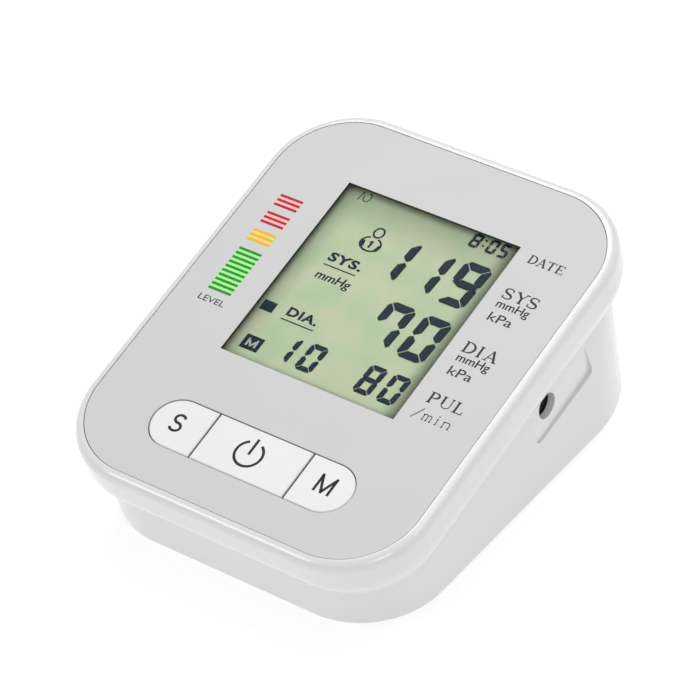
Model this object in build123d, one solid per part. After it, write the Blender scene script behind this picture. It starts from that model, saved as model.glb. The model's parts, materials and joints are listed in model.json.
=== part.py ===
from build123d import *
from math import cos, pi, radians, sin
import os

# Upper-arm blood pressure monitor, in millimetres.
# Row frame: +Z up, +Y towards the rear, +X to the right, origin at the bottom centre of the whole.
# Panel frame: x right, y up the slope from the face panel's front edge, z out of the panel.

# ---- driving dimensions -------------------------------------------------------------------
TILT = 11.0                 # slope of the face panel
PANEL_W = 94.0
PANEL_L = 116.5
PANEL_R = 19.4
PANEL_FRONT_Y = -59.9       # the panel's front edge in the row frame
PANEL_FRONT_Z = 27.97
FOOT_PROUD = 0.8            # the feet hold the base this far off the table
WALL = 2.2

RIM = 2.75                  # white rim outside the panel
RIM_TOP_R = 2.6
RIM_DEPTH = 16.8            # the rim's rolled edge ends this far under the panel
RIM_REAR_EXTRA = 0.35       # the rim is this much wider behind the panel
RIM_ROLL_R = 10.0
PARTING = -14.4             # panel-frame height where the two shells meet
CREASE_R = 3.0

BASE_TOP = -8.0             # the base's walls start inside the rim, at this panel-frame height
BASE_TOP_GROW = -0.9
BASE_FRONT_Y = -55.85
BASE_REAR_Y = 62.1
BASE_FRONT_HALF = 45.2
BASE_REAR_HALF = 51.2
BASE_FRONT_R = 22.3
BASE_REAR_R = 32.0
BASE_EDGE_R = 1.6

PANEL_TOP = -0.1
PANEL_T = 0.8
PANEL_GAP = 0.2
WEB_UNDER = -2.6
LCD_W = 50.9
LCD_L = 57.0
LCD_Y = 69.35               # centre of the display window
LENS_T = 0.7
GLASS_T = 1.1
GLASS_W = 57.2
LEDGE = 3.2                 # the front glass reaches past the rear glass to carry its contacts

KEYS_W = 58.2
KEYS_L = 14.5
KEYS_Y = 17.55
KEY_SPLIT = 13.8            # the two lines between the keys, from the centre
KEY_GAP = 0.25
KEY_TOP = -0.15
KEY_EDGE_R = 0.35
KEY_FLANGE_T = 1.0
SWITCH_TOP = 4.0            # the switch plunger's end above the board
SWITCH_PLUNGER_R = 1.7

PCB_TOP = -8.6
PCB_T = 1.6
PCB_HALF = 40.0
PCB_Y0 = 8.0
PCB_Y1 = 108.0

CELL_R = 7.1
CELL_L = 49.2
CELL_NUB = 1.3
CELL_PITCH = 14.8
BAY_HALF = 30.3             # battery bay, inside
BAY_Y0 = -33.0
BAY_Y1 = 25.0
BAY_TOP = 18.2
BAY_WALL = 1.6
SPRING_WIRE_R = 0.35
SPRING_TURNS = 4
SPRING_CHORDS = 16          # straight pieces in each turn
SPRING_R0 = 4.5
SPRING_R1 = 3.2
COVER_HALF = 32.3
COVER_Y0 = -36.2
COVER_Y1 = 29.5
COVER_T = 2.0
COVER_GAP = 0.2

PORT_Y = 12.1               # the power jack and the air socket sit opposite each other
PORT_Z = 23.6
PAD_X = 46.85               # flat pad around each port
JACK_HOLE_R = 3.4
SOCKET_R = 3.6
SOCKET_BORE_R = 3.0
SOCKET_BORE_L = 9.5

PUMP_Y = 41.0
PUMP_Z = 17.6
PUMP_R = 13.5
MOTOR_R = 12.1
MOTOR_X0 = -2.0
MOTOR_X1 = 26.0
SHAFT_R = 1.0
RUN = 0.05                  # running clearance on radii

TUBE_R = 2.25
TUBE_BORE = 1.25
BARB_R = 1.2
BARB_L = 4.0
BARB_BORE = 0.6
TEE_X = -20.5
SENSOR_FACE = -6.1          # rear face of the pressure sensor at the spout's height
LEAD_R = 0.55
VALVE_X = 2.0               # face of the valve that its barb stands on
VALVE_L = 17.0
VALVE_HALF = 5.0
VALVE_CORE_R = 1.7
VALVE_COIL_R = 3.2

FRONT_SCREW = (33.5, -45.0)
REAR_SCREW = (36.0, 46.0)
MATE_Z = {-45.0: 12.0, 46.0: 14.0}
CASE_SCREW_R = 1.45
CASE_SCREW_HEAD_R = 2.8
CASE_SCREW_SEAT = 3.5       # thickness of the rear shell's boss that the screw head pulls on
CASE_SCREW_L = 11.0
PCB_SCREW_R = 1.0
PCB_SCREW_END = -4.5        # panel-frame height of the board screws' tips
PILOT = 0.02                # clearance of a self-tapping screw in its hole
PCB_SCREWS = [(-36.0, 32.0), (36.0, 32.0), (-36.0, 92.0), (36.0, 92.0)]
FEET = [(-39.0, -31.0), (39.0, -31.0), (-41.5, 32.0), (41.5, 32.0)]
FOOT_R = 4.0
FOOT_T = 1.6
TRAY_PEGS = [(x, y) for x in (-28.0, 28.0) for y in (LCD_Y - 32.0, LCD_Y + 29.0)]

FLOOR = FOOT_PROUD + WALL
PANEL = Location((0, PANEL_FRONT_Y, PANEL_FRONT_Z), (TILT, 0, 0))
LOW = (Align.CENTER, Align.CENTER, Align.MIN)
HIGH = (Align.CENTER, Align.CENTER, Align.MAX)


# ---- helpers ------------------------------------------------------------------------------
def tilt(shape):
    """Move a shape from the panel frame to the row frame."""
    return PANEL * shape


def block(x0, x1, y0, y1, z0, z1):
    return Pos((x0 + x1) / 2, (y0 + y1) / 2, (z0 + z1) / 2) * Box(x1 - x0, y1 - y0, z1 - z0)


def rod_x(radius, x0, x1, y, z):
    """A round bar along X."""
    return Pos((x0 + x1) / 2, y, z) * Rot(0, 90, 0) * Cylinder(radius, x1 - x0)


def rod_y(radius, y0, y1, x, z):
    """A round bar along Y."""
    return Pos(x, (y0 + y1) / 2, z) * Rot(90, 0, 0) * Cylinder(radius, y1 - y0)


def rod_z(radius, z0, z1, x, y):
    return Pos(x, y, (z0 + z1) / 2) * Cylinder(radius, z1 - z0)


def plate(outline, z0, z1):
    """Extrude a flat outline between two heights."""
    return extrude(Pos(0, 0, z0) * outline, amount=z1 - z0)


def quad_outline(front_y, rear_y, front_half, rear_half, front_r, rear_r):
    """A symmetric four-sided outline with rounded corners, narrower or wider at the rear."""
    corners = [(-front_half, front_y), (front_half, front_y), (rear_half, rear_y), (-rear_half, rear_y)]
    face = make_face(Polyline(*corners, close=True))
    face = fillet(face.vertices().group_by(Axis.Y)[0], front_r)
    return fillet(face.vertices().group_by(Axis.Y)[-1], rear_r)


def rim_outline(grow, rear_extra=0.0):
    """The face panel's outline moved outward by grow."""
    half = PANEL_W / 2 + grow
    radius = PANEL_R + grow
    return quad_outline(-grow, PANEL_L + grow + rear_extra, half, half, radius, radius)


def half_space(z, above):
    """A large block on one side of a plane parallel to the panel."""
    return tilt(Pos(0, PANEL_L / 2, z) * Box(300, 300, 150, align=LOW if above else HIGH))


# ---- the two shells -----------------------------------------------------------------------
def base_outline(grow):
    """The base's outline on the table, moved outward by grow."""
    return quad_outline(
        BASE_FRONT_Y - grow,
        BASE_REAR_Y + grow,
        BASE_FRONT_HALF + grow,
        BASE_REAR_HALF + grow,
        BASE_FRONT_R + grow,
        BASE_REAR_R + grow,
    )


def base_form(inset, floor, edge_r):
    """Flared walls from the foot outline up into the rim, with a rounded lower edge."""
    sections = []
    steps = 4 if edge_r else 0
    for step in range(steps):
        angle = radians(90.0 * step / steps)
        height = floor + edge_r * (1 - cos(angle))
        sections.append(Pos(0, 0, height) * base_outline(edge_r * (sin(angle) - 1)))
    sections.append(Pos(0, 0, floor + edge_r) * base_outline(-inset))
    sections.append(tilt(Pos(0, 0, BASE_TOP) * rim_outline(BASE_TOP_GROW - inset)))
    return loft(sections, ruled=True)


def rim_form(inset, top):
    """Slab under the face panel with a rolled lower edge."""
    rim = plate(rim_outline(RIM - inset, RIM_REAR_EXTRA), -RIM_DEPTH + inset, top)
    if not inset:
        rim = fillet(rim.edges().group_by(Axis.Z)[-1], RIM_TOP_R)
    return tilt(fillet(rim.edges().group_by(Axis.Z)[0], RIM_ROLL_R - inset))


def outer_form():
    rim = rim_form(0.0, 0.0)
    base = base_form(0.0, FOOT_PROUD, BASE_EDGE_R)
    whole = rim + base
    return fillet(new_edges(rim, base, combined=whole), CREASE_R)


def hollow_form():
    return rim_form(WALL, WEB_UNDER) + base_form(WALL, FLOOR, 0.0)


def port_pads():
    """Flat upright pads sunk into both sides, around the power jack and the air socket."""
    pad = Rectangle(25.0, 11.0)
    pad = fillet(pad.vertices(), 2.0)
    cutter = extrude(Plane.YZ * pad, amount=6)
    right = Pos(PAD_X, PORT_Y + 5.5, PORT_Z - 0.6) * Rot(TILT, 0, 0) * cutter
    return right + mirror(right, about=Plane.YZ)


def case_screw_places():
    return [(side * x, y) for x, y in (FRONT_SCREW, REAR_SCREW) for side in (-1, 1)]


def make_front_housing(shell):
    """Upper shell: white rim, recessed deck under the panel, windows for display and keys, bosses."""
    housing = shell & half_space(PARTING, above=True)
    under_deck = half_space(WEB_UNDER + 0.3, above=False)
    for x, y in case_screw_places():
        housing += rod_z(3.4, MATE_Z[y], 70, x, y) & under_deck
    posts = Part() + [rod_z(3.0, PCB_TOP, WEB_UNDER + 0.3, x, y) for x, y in PCB_SCREWS]
    housing += tilt(posts)
    cuts = plate(rim_outline(PANEL_GAP), PANEL_TOP - PANEL_T, 5)
    cuts += plate(display_outline(GLASS_W + 0.8, LCD_L + 9.6, -LEDGE / 2), WEB_UNDER - 1, 0)
    cuts += plate(Pos(0, KEYS_Y) * SlotOverall(KEYS_W, KEYS_L), WEB_UNDER - 1, 0)
    for x, y in PCB_SCREWS:
        cuts += rod_z(PCB_SCREW_R + PILOT, PCB_TOP - 1, PCB_SCREW_END + 0.5, x, y)
    housing -= tilt(cuts)
    for x, y in case_screw_places():
        housing -= rod_z(CASE_SCREW_R + PILOT, MATE_Z[y] - 1, MATE_Z[y] + 9, x, y)
    return housing


def make_rear_housing(shell):
    """Lower shell: flared base, battery bay, pump saddles, port pads and screw bosses."""
    housing = shell & half_space(PARTING, above=False)
    bay = block(-BAY_HALF - BAY_WALL, BAY_HALF + BAY_WALL, BAY_Y0 - BAY_WALL, BAY_Y1 + BAY_WALL,
                FLOOR, BAY_TOP + BAY_WALL)
    housing += bay
    for side in (-1, 1):
        inner = side * (BAY_HALF + BAY_WALL - 0.2)
        outer = side * (PAD_X - 1.0)
        drop = 5.6 if side > 0 else SOCKET_R
        shelf = block(min(inner, outer), max(inner, outer), PORT_Y - 5, PORT_Y + 5,
                      PORT_Z - drop - 1.6, PORT_Z - drop)
        housing += shelf
    for x0, x1, radius in ((-22.0, -20.0, PUMP_R), (7.0, 9.0, MOTOR_R + 1.5), (17.0, 19.0, MOTOR_R + 1.5)):
        saddle = block(x0, x1, PUMP_Y - 13.0, PUMP_Y + 13.0, FLOOR - 0.3, PUMP_Z - 4.0)
        housing += saddle - rod_x(radius + RUN, x0 - 1, x1 + 1, PUMP_Y, PUMP_Z)
    for x, y in case_screw_places():
        housing += rod_z(4.6, FLOOR - 0.3, MATE_Z[y], x, y)
    cuts = block(-BAY_HALF, BAY_HALF, BAY_Y0, BAY_Y1, -1, BAY_TOP)
    cuts += block(-COVER_HALF, COVER_HALF, COVER_Y0, COVER_Y1, -1, FOOT_PROUD + COVER_T + COVER_GAP)
    cuts += block(-COVER_HALF, COVER_HALF, BAY_Y1 + BAY_WALL, COVER_Y1, 0, FLOOR + 0.2)
    cuts += block(-COVER_HALF, COVER_HALF, COVER_Y0, BAY_Y0 - BAY_WALL, 0, FLOOR + 0.2)
    for index in (0, 3):
        x = cell_x(index)
        cuts += block(x - 1.7, x + 1.7, BAY_Y0, BAY_Y0 + 0.7, BAY_TOP - 1, BAY_TOP + BAY_WALL + 1)
    cuts += port_pads()
    cuts += rod_x(JACK_HOLE_R, PAD_X - 5, PAD_X + 5, PORT_Y, PORT_Z)
    cuts += rod_x(SOCKET_R + 0.1, -PAD_X - 5, -PAD_X + 5, PORT_Y, PORT_Z)
    for x, y in case_screw_places():
        cuts += rod_z(CASE_SCREW_HEAD_R + 0.4, -1, MATE_Z[y] - CASE_SCREW_SEAT, x, y)
        cuts += rod_z(CASE_SCREW_R + 0.25, 0, MATE_Z[y] + 1, x, y)
    for x, y in FEET:
        cuts += rod_z(FOOT_R + RUN, 0, FOOT_T, x, y)
    return housing - cuts


# ---- face panel and display ---------------------------------------------------------------
def display_outline(width, length, shift=0.0):
    return Pos(0, LCD_Y + shift) * Rectangle(width, length)


def make_face_panel():
    panel = plate(rim_outline(0), PANEL_TOP - PANEL_T, PANEL_TOP)
    panel -= plate(display_outline(LCD_W, LCD_L), -5, 5)
    panel -= plate(Pos(0, KEYS_Y) * SlotOverall(KEYS_W, KEYS_L), -5, 5)
    return tilt(panel)


def display_levels():
    """Heights of the display stack: lens, front glass, rear glass, reflector."""
    lens_top = PANEL_TOP - PANEL_T
    glass_top = lens_top - LENS_T - 0.1
    rear_top = glass_top - GLASS_T
    reflector_top = rear_top - GLASS_T
    return lens_top, glass_top, rear_top, reflector_top


def make_display_lens():
    top = display_levels()[0]
    return tilt(plate(display_outline(GLASS_W + 0.4, LCD_L + 9.2, -LEDGE / 2), top - LENS_T, top))


def make_lcd_front_glass():
    top = display_levels()[1]
    return tilt(plate(display_outline(GLASS_W, LCD_L + 5 + LEDGE, -LEDGE / 2), top - GLASS_T, top))


def make_lcd_rear_glass():
    top = display_levels()[2]
    return tilt(plate(display_outline(GLASS_W, LCD_L + 5), top - GLASS_T, top))


def make_lcd_reflector():
    top = display_levels()[3]
    return tilt(plate(display_outline(GLASS_W - 1, LCD_L + 4), top - 0.3, top))


def make_lcd_frame():
    """Tray that presses the glass up against the deck and stands on the board."""
    seat = display_levels()[3] - 0.3
    tray = plate(display_outline(GLASS_W + 4.0, LCD_L + 14.0, -1.4), seat - 1.2, WEB_UNDER - 0.05)
    tray -= plate(display_outline(GLASS_W + 0.6, LCD_L + 9.2, -1.4), seat, 0)
    tray -= plate(Pos(0, zebra_y()) * Rectangle(51.0, 2.8), seat - 5, 0)
    for x, y in TRAY_PEGS:
        tray += rod_z(1.8, PCB_TOP, seat - 1.0, x, y)
        tray += rod_z(0.9, PCB_TOP - 1.2, PCB_TOP, x, y)
    return tilt(tray)


def zebra_y():
    """The rubber contact strip stands under the front glass's ledge."""
    return LCD_Y - (LCD_L + 5) / 2 - LEDGE / 2


def make_zebra_strip():
    top = display_levels()[2]
    return tilt(plate(Pos(0, zebra_y()) * Rectangle(50.0, 2.2), PCB_TOP, top))


# ---- keys ---------------------------------------------------------------------------------
KEY_RANGES = {
    "set": (-KEYS_W / 2, -KEY_SPLIT),
    "power": (-KEY_SPLIT, KEY_SPLIT),
    "memory": (KEY_SPLIT, KEYS_W / 2),
}


def key_window(name, margin):
    """One key's stretch of the pill-shaped window, shrunk by margin on every side."""
    x0, x1 = KEY_RANGES[name]
    pill = Pos(0, KEYS_Y) * SlotOverall(KEYS_W - 2 * margin, KEYS_L - 2 * margin)
    return pill & (Pos((x0 + x1) / 2, KEYS_Y) * Rectangle(x1 - x0 - 2 * margin, 40))


def key_centre(name):
    return {"set": -21.4, "power": 0.0, "memory": 21.4}[name]


def make_button(name):
    """Key cap with a retaining flange under the deck and a stem down to its switch."""
    flange_top = WEB_UNDER - 0.3
    cap = plate(key_window(name, KEY_GAP), flange_top, KEY_TOP)
    cap = fillet(cap.edges().group_by(Axis.Z)[-1], KEY_EDGE_R)
    x0, x1 = KEY_RANGES[name]
    pill = Pos(0, KEYS_Y) * SlotOverall(KEYS_W + 1.4, KEYS_L + 1.4)
    low = x0 - 2 if name == "set" else x0 + KEY_GAP
    high = x1 + 2 if name == "memory" else x1 - KEY_GAP
    flange = pill & (Pos((low + high) / 2, KEYS_Y) * Rectangle(high - low, 40))
    cap += plate(flange, flange_top - KEY_FLANGE_T, flange_top)
    cap += Pos(key_centre(name), KEYS_Y, PCB_TOP + SWITCH_TOP) * Box(4.0, 4.0, 3.0, align=LOW)
    return tilt(cap)


def make_plunger(name):
    top = PCB_TOP + SWITCH_TOP
    return tilt(rod_z(SWITCH_PLUNGER_R, top - 1.2, top, key_centre(name), KEYS_Y))


def make_tact_switches():
    """Three board-mounted switches, each with a well for its plunger."""
    bodies = []
    for name in KEY_RANGES:
        x = key_centre(name)
        body = Pos(x, KEYS_Y, PCB_TOP) * Box(6.0, 6.0, 3.5, align=LOW)
        body -= rod_z(SWITCH_PLUNGER_R + RUN, PCB_TOP + 2.2, PCB_TOP + SWITCH_TOP, x, KEYS_Y)
        bodies.append(tilt(body))
    return Compound(children=bodies)


# ---- circuit board ------------------------------------------------------------------------
def make_main_pcb():
    centre = Pos(0, (PCB_Y0 + PCB_Y1) / 2)
    board = plate(centre * RectangleRounded(2 * PCB_HALF, PCB_Y1 - PCB_Y0, 8), PCB_TOP - PCB_T, PCB_TOP)
    for x, y in PCB_SCREWS:
        board -= rod_z(PCB_SCREW_R + 0.2, PCB_TOP - 3, PCB_TOP + 1, x, y)
    for x, y in TRAY_PEGS:
        board -= rod_z(1.0, PCB_TOP - 3, PCB_TOP + 1, x, y)
    board = tilt(board)
    for x, y in case_screw_places():
        board -= rod_z(4.4, 0, 70, x, y)
    return board


def under_board(x0, x1, y0, y1, height):
    """A block soldered to the underside of the board."""
    top = PCB_TOP - PCB_T
    return tilt(block(x0, x1, y0, y1, top - height, top))


def make_board_chips():
    """The microcontroller and the sensor amplifier."""
    controller = under_board(4.0, 18.0, 86.0, 100.0, 1.6)
    amplifier = under_board(-16.0, -10.0, 50.0, 55.0, 1.5)
    return Compound(children=[controller, amplifier])


def make_crystal():
    top = PCB_TOP - PCB_T
    can = Pos(24.0, 92.0) * SlotOverall(11.0, 4.6, rotation=90)
    return tilt(plate(can, top - 3.5, top))


def make_capacitors():
    top = PCB_TOP - PCB_T
    cans = [tilt(rod_z(2.5, top - 5.0, top, x, 96.0)) for x in (-8.0, -14.5, -21.0)]
    return Compound(children=cans)


def make_wire_sockets():
    """Board headers for the battery, jack, motor and valve leads."""
    places = ((28.0, 70.0), (28.0, 78.0), (33.0, 60.0))
    return Compound(children=[under_board(x, x + 5.0, y, y + 5.0, 4.5) for x, y in places])


def make_buzzer():
    top = PCB_TOP - PCB_T
    can = rod_z(6.0, top - 6.0, top, -30.0, 84.0)
    can -= rod_z(1.0, top - 7.0, top - 5.0, -30.0, 84.0)
    return tilt(can)


def make_pressure_sensor():
    """Sensor block under the board with a barbed spout that faces the manifold."""
    body = under_board(TEE_X - 4.0, TEE_X + 4.0, 44.0, 52.0, 6.0)
    return body + rod_y(BARB_R, SENSOR_FACE - 2.0, SENSOR_FACE + BARB_L, TEE_X, PORT_Z)


# ---- ports and air line -------------------------------------------------------------------
def make_dc_jack():
    body = block(33.4, 44.4, PORT_Y - 4.5, PORT_Y + 4.5, PORT_Z - 5.6, PORT_Z + 5.0)
    return body - rod_x(3.1, 35.4, 46.0, PORT_Y, PORT_Z)


def make_dc_jack_pin():
    pin = rod_x(1.05, 35.4, 43.4, PORT_Y, PORT_Z)
    return fillet(pin.edges().group_by(Axis.X)[-1], 0.5)


def make_air_socket():
    """Socket for the cuff's air plug: an open bore, a flange behind the wall and a barb inside."""
    face = -PAD_X
    socket = rod_x(SOCKET_R, face, face + 11.5, PORT_Y, PORT_Z)
    socket += block(face + 2.7, face + 3.9, PORT_Y - 6, PORT_Y + 6, PORT_Z - SOCKET_R, PORT_Z + 2.2)
    socket -= rod_x(SOCKET_BORE_R, face - 1, face + SOCKET_BORE_L, PORT_Y, PORT_Z)
    barb = rod_x(BARB_R, face + 11.4, face + 11.5 + BARB_L, PORT_Y, PORT_Z)
    return socket + barb - rod_x(BARB_BORE, face, face + 20, PORT_Y, PORT_Z)


def make_air_tee():
    """Four-way manifold between socket, pump, sensor and valve."""
    block_half = 3.0
    tee = block(TEE_X - block_half, TEE_X + block_half, PORT_Y - block_half, PORT_Y + block_half,
                PORT_Z - block_half, PORT_Z + block_half)
    reach = block_half + BARB_L
    tee += rod_x(BARB_R, TEE_X - reach, TEE_X + reach, PORT_Y, PORT_Z)
    tee += rod_y(BARB_R, PORT_Y - reach, PORT_Y + reach, TEE_X, PORT_Z)
    tee -= rod_x(BARB_BORE, TEE_X - 20, TEE_X + 20, PORT_Y, PORT_Z)
    return tee - rod_y(BARB_BORE, PORT_Y - 20, PORT_Y + 20, TEE_X, PORT_Z)


def straight_tube_x(x0, x1):
    return rod_x(TUBE_R, x0, x1, PORT_Y, PORT_Z) - rod_x(TUBE_BORE, x0 - 1, x1 + 1, PORT_Y, PORT_Z)


def make_socket_tube():
    return straight_tube_x(-PAD_X + 11.6, TEE_X - 3.1)


def make_valve_tube():
    return straight_tube_x(TEE_X + 3.1, VALVE_X - 0.1)


def straight_tube_y(y0, y1):
    return rod_y(TUBE_R, y0, y1, TEE_X, PORT_Z) - rod_y(TUBE_BORE, y0 - 1, y1 + 1, TEE_X, PORT_Z)


def make_pump_tube():
    return straight_tube_y(PORT_Y + 3.1, PUMP_Y - PUMP_R - 0.1)


def make_sensor_tube():
    return straight_tube_y(SENSOR_FACE + 0.6, PORT_Y - 3.1)


# ---- pump ---------------------------------------------------------------------------------
def pump_rod(radius, x0, x1):
    return rod_x(radius, x0, x1, PUMP_Y, PUMP_Z)


def make_pump_cover():
    """Outlet end of the pump, with the barb that feeds the manifold."""
    cover = pump_rod(PUMP_R, -26.0, -15.0) - pump_rod(10.5, -24.0, -14.0)
    cover += rod_y(BARB_R, PUMP_Y - PUMP_R - BARB_L, PUMP_Y - 11.0, TEE_X, PORT_Z)
    return cover - rod_y(BARB_BORE, PUMP_Y - 30, PUMP_Y - 9.0, TEE_X, PORT_Z)


def make_pump_diaphragm():
    """Rubber sheet with three cups that the yoke works."""
    sheet = pump_rod(PUMP_R, -15.0, -13.5)
    for angle in (90, 210, 330):
        y = PUMP_Y + 6.2 * cos(radians(angle))
        z = PUMP_Z + 6.2 * sin(radians(angle))
        sheet += rod_x(3.2, -18.0, -14.9, y, z)
    return sheet


def make_pump_body():
    """Crank case between the diaphragm and the motor."""
    body = pump_rod(PUMP_R, -13.5, MOTOR_X0) - pump_rod(11.5, -14.0, MOTOR_X0 - 1.6)
    return body - pump_rod(3.4, -10, MOTOR_X0 + 1)


def make_pump_yoke():
    """Three-armed plate on the diaphragm, driven by the crank pin that runs round inside it."""
    yoke = pump_rod(9.5, -13.5, -12.0)
    yoke += pump_rod(6.2, -12.0, -10.2)
    return yoke - pump_rod(4.4, -12.9, -10.0)


def make_pump_crank():
    """Eccentric on the motor shaft."""
    crank = pump_rod(6.0, -9.6, -6.0)
    crank += rod_x(1.0, -12.4, -9.5, PUMP_Y, PUMP_Z + 3.0)
    return crank - pump_rod(SHAFT_R, -7.6, -5.0)


def make_motor_can():
    can = pump_rod(MOTOR_R, MOTOR_X0, MOTOR_X1) - pump_rod(MOTOR_R - 1.0, MOTOR_X0 + 1.0, MOTOR_X1 + 1)
    return can - pump_rod(3.0, MOTOR_X0 - 1, MOTOR_X0 + 2)


def make_motor_end_cap():
    cap = pump_rod(MOTOR_R, MOTOR_X1, MOTOR_X1 + 1.5)
    cap += pump_rod(MOTOR_R - 1.05, MOTOR_X1 - 1.5, MOTOR_X1)
    return cap - pump_rod(3.0, MOTOR_X1 - 2, MOTOR_X1 + 1.0)


def make_motor_bushes():
    """Bronze bearings at both ends of the shaft."""
    bushes = []
    for x0, x1 in ((MOTOR_X0, MOTOR_X0 + 3.0), (MOTOR_X1 - 2.0, MOTOR_X1 + 1.0)):
        bushes.append(pump_rod(3.0, x0, x1) - pump_rod(SHAFT_R + RUN, x0 - 1, x1 + 1))
    return Compound(children=bushes)


def make_motor_magnets():
    """Two curved magnets inside the can."""
    ring = pump_rod(MOTOR_R - 1.0, 3.0, 20.0) - pump_rod(8.6, 2.0, 21.0)
    gap = block(2, 21, PUMP_Y - 3, PUMP_Y + 3, PUMP_Z - 20, PUMP_Z + 20)
    return Compound(children=(ring - gap).solids())


def make_motor_shaft():
    return pump_rod(SHAFT_R, -7.6, MOTOR_X1 + 0.8)


def make_motor_rotor():
    """Three-pole laminated core with its windings taken up in the slots, and the commutator."""
    core = pump_rod(8.2, 4.0, 19.0)
    for angle in (0, 120, 240):
        slot = block(3, 20, -1.2, 1.2, 3.4, 10)
        core -= Pos(0, PUMP_Y, PUMP_Z) * Rot(angle, 0, 0) * slot
    core += pump_rod(2.6, 19.0, 23.4)
    return core - pump_rod(SHAFT_R, 0, 30)


def make_pump_cushion():
    """Foam sleeve that keeps the motor from buzzing against its saddles."""
    return pump_rod(MOTOR_R + 1.5, 5.0, 21.0) - pump_rod(MOTOR_R, 4.0, 22.0)


# ---- release valve ------------------------------------------------------------------------
def make_valve_bracket():
    """Steel yoke of the solenoid, on top of the battery bay."""
    x0 = VALVE_X
    bracket = block(x0, x0 + VALVE_L, PORT_Y - VALVE_HALF, PORT_Y + VALVE_HALF, PORT_Z - 3.75, PORT_Z + 4.4)
    bracket -= block(x0 + 1.0, x0 + VALVE_L - 1.0, PORT_Y - VALVE_HALF - 1, PORT_Y + VALVE_HALF + 1,
                     PORT_Z - 2.95, PORT_Z + 3.6)
    return bracket - rod_x(VALVE_CORE_R + 0.2, x0 - 1, x0 + VALVE_L + 1, PORT_Y, PORT_Z)


def make_valve_seat():
    """Barbed nozzle that the plunger closes."""
    x0 = VALVE_X
    seat = rod_x(1.8, x0, x0 + 1.0, PORT_Y, PORT_Z) + rod_x(BARB_R, x0 - BARB_L, x0 + 0.5, PORT_Y, PORT_Z)
    return seat - rod_x(BARB_BORE, x0 - 10, x0 + 3, PORT_Y, PORT_Z)


def make_valve_coil():
    x0 = VALVE_X
    coil = rod_x(VALVE_COIL_R, x0 + 4.0, x0 + 15.0, PORT_Y, PORT_Z)
    coil -= block(x0, x0 + 20, PORT_Y - 8, PORT_Y + 8, PORT_Z - 8, PORT_Z - 2.9)
    return coil - rod_x(VALVE_CORE_R, x0 + 3, x0 + 16, PORT_Y, PORT_Z)


def make_valve_plunger():
    """Iron core that slides in the coil; it stands off the seat when the coil is off."""
    x0 = VALVE_X
    return rod_x(VALVE_CORE_R - RUN, x0 + 2.6, x0 + 15.4, PORT_Y, PORT_Z)


def make_valve_pad():
    x0 = VALVE_X
    return rod_x(1.6, x0 + 1.9, x0 + 2.6, PORT_Y, PORT_Z)


# ---- battery bay --------------------------------------------------------------------------
CELL_Z = FOOT_PROUD + COVER_T + 0.4 + CELL_R
CONTACT_T = 0.5
TAB_TOP = 22.7              # the two end contacts reach up to the board through the bay's roof


def cell_x(index):
    return (index - 1.5) * CELL_PITCH


def cell_faces_front(index):
    """Cells lie head to tail; the even ones have their nub towards the front."""
    return index % 2 == 0


def make_cell(index):
    """A round dry cell with its nub against one contact and its base on a spring."""
    x = cell_x(index)
    if cell_faces_front(index):
        y0 = BAY_Y0 + CONTACT_T
        can = rod_y(CELL_R, y0 + CELL_NUB, y0 + CELL_NUB + CELL_L, x, CELL_Z)
        tip = rod_y(2.75, y0, y0 + CELL_NUB, x, CELL_Z)
    else:
        y1 = BAY_Y1 - CONTACT_T
        can = rod_y(CELL_R, y1 - CELL_NUB - CELL_L, y1 - CELL_NUB, x, CELL_Z)
        tip = rod_y(2.75, y1 - CELL_NUB, y1, x, CELL_Z)
    return fillet(can.edges(), 0.5) + tip


def coil_point(turn, turns, length):
    """Point on a spring's centre line, which narrows from SPRING_R0 to SPRING_R1 over its turns."""
    angle = 2 * pi * turn
    radius = SPRING_R0 + (SPRING_R1 - SPRING_R0) * turn / turns
    return (radius * cos(angle), radius * sin(angle), length * turn / turns)


def make_battery_springs():
    """Conical springs behind the flat ends of the cells."""
    room = BAY_Y1 - BAY_Y0 - 2 * CONTACT_T - CELL_L - CELL_NUB
    length = room - 2 * SPRING_WIRE_R - 0.1
    steps = SPRING_TURNS * SPRING_CHORDS
    points = [coil_point(step / SPRING_CHORDS, SPRING_TURNS, length) for step in range(steps + 1)]
    coil = Wire(Polyline(*points).edges())
    section = Plane(coil @ 0, z_dir=coil % 0) * Circle(SPRING_WIRE_R)
    spring = Pos(0, 0, SPRING_WIRE_R + 0.05) * sweep(section, path=coil, transition=Transition.RIGHT)
    springs = []
    for index in range(4):
        if cell_faces_front(index):
            springs.append(Pos(cell_x(index), BAY_Y1 - CONTACT_T, CELL_Z) * Rot(90, 0, 0) * spring)
        else:
            springs.append(Pos(cell_x(index), BAY_Y0 + CONTACT_T, CELL_Z) * Rot(-90, 0, 0) * spring)
    return Compound(children=springs)


def make_contact_plates():
    """Plates at both ends of the bay that link the cells in series."""
    plates = []
    half = 6.0
    for first, last in ((0, 0), (1, 2), (3, 3)):
        plates.append(block(cell_x(first) - half, cell_x(last) + half, BAY_Y0, BAY_Y0 + CONTACT_T,
                            CELL_Z - 5.5, CELL_Z + 5.5))
    for index in (0, 3):
        x = cell_x(index)
        tab = block(x - 1.5, x + 1.5, BAY_Y0, BAY_Y0 + CONTACT_T, CELL_Z, TAB_TOP)
        plates[0 if index == 0 else 2] += tab
    for first, last in ((0, 1), (2, 3)):
        plates.append(block(cell_x(first) - half, cell_x(last) + half, BAY_Y1 - CONTACT_T, BAY_Y1,
                            CELL_Z - 5.5, CELL_Z + 5.5))
    return Compound(children=plates)


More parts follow.
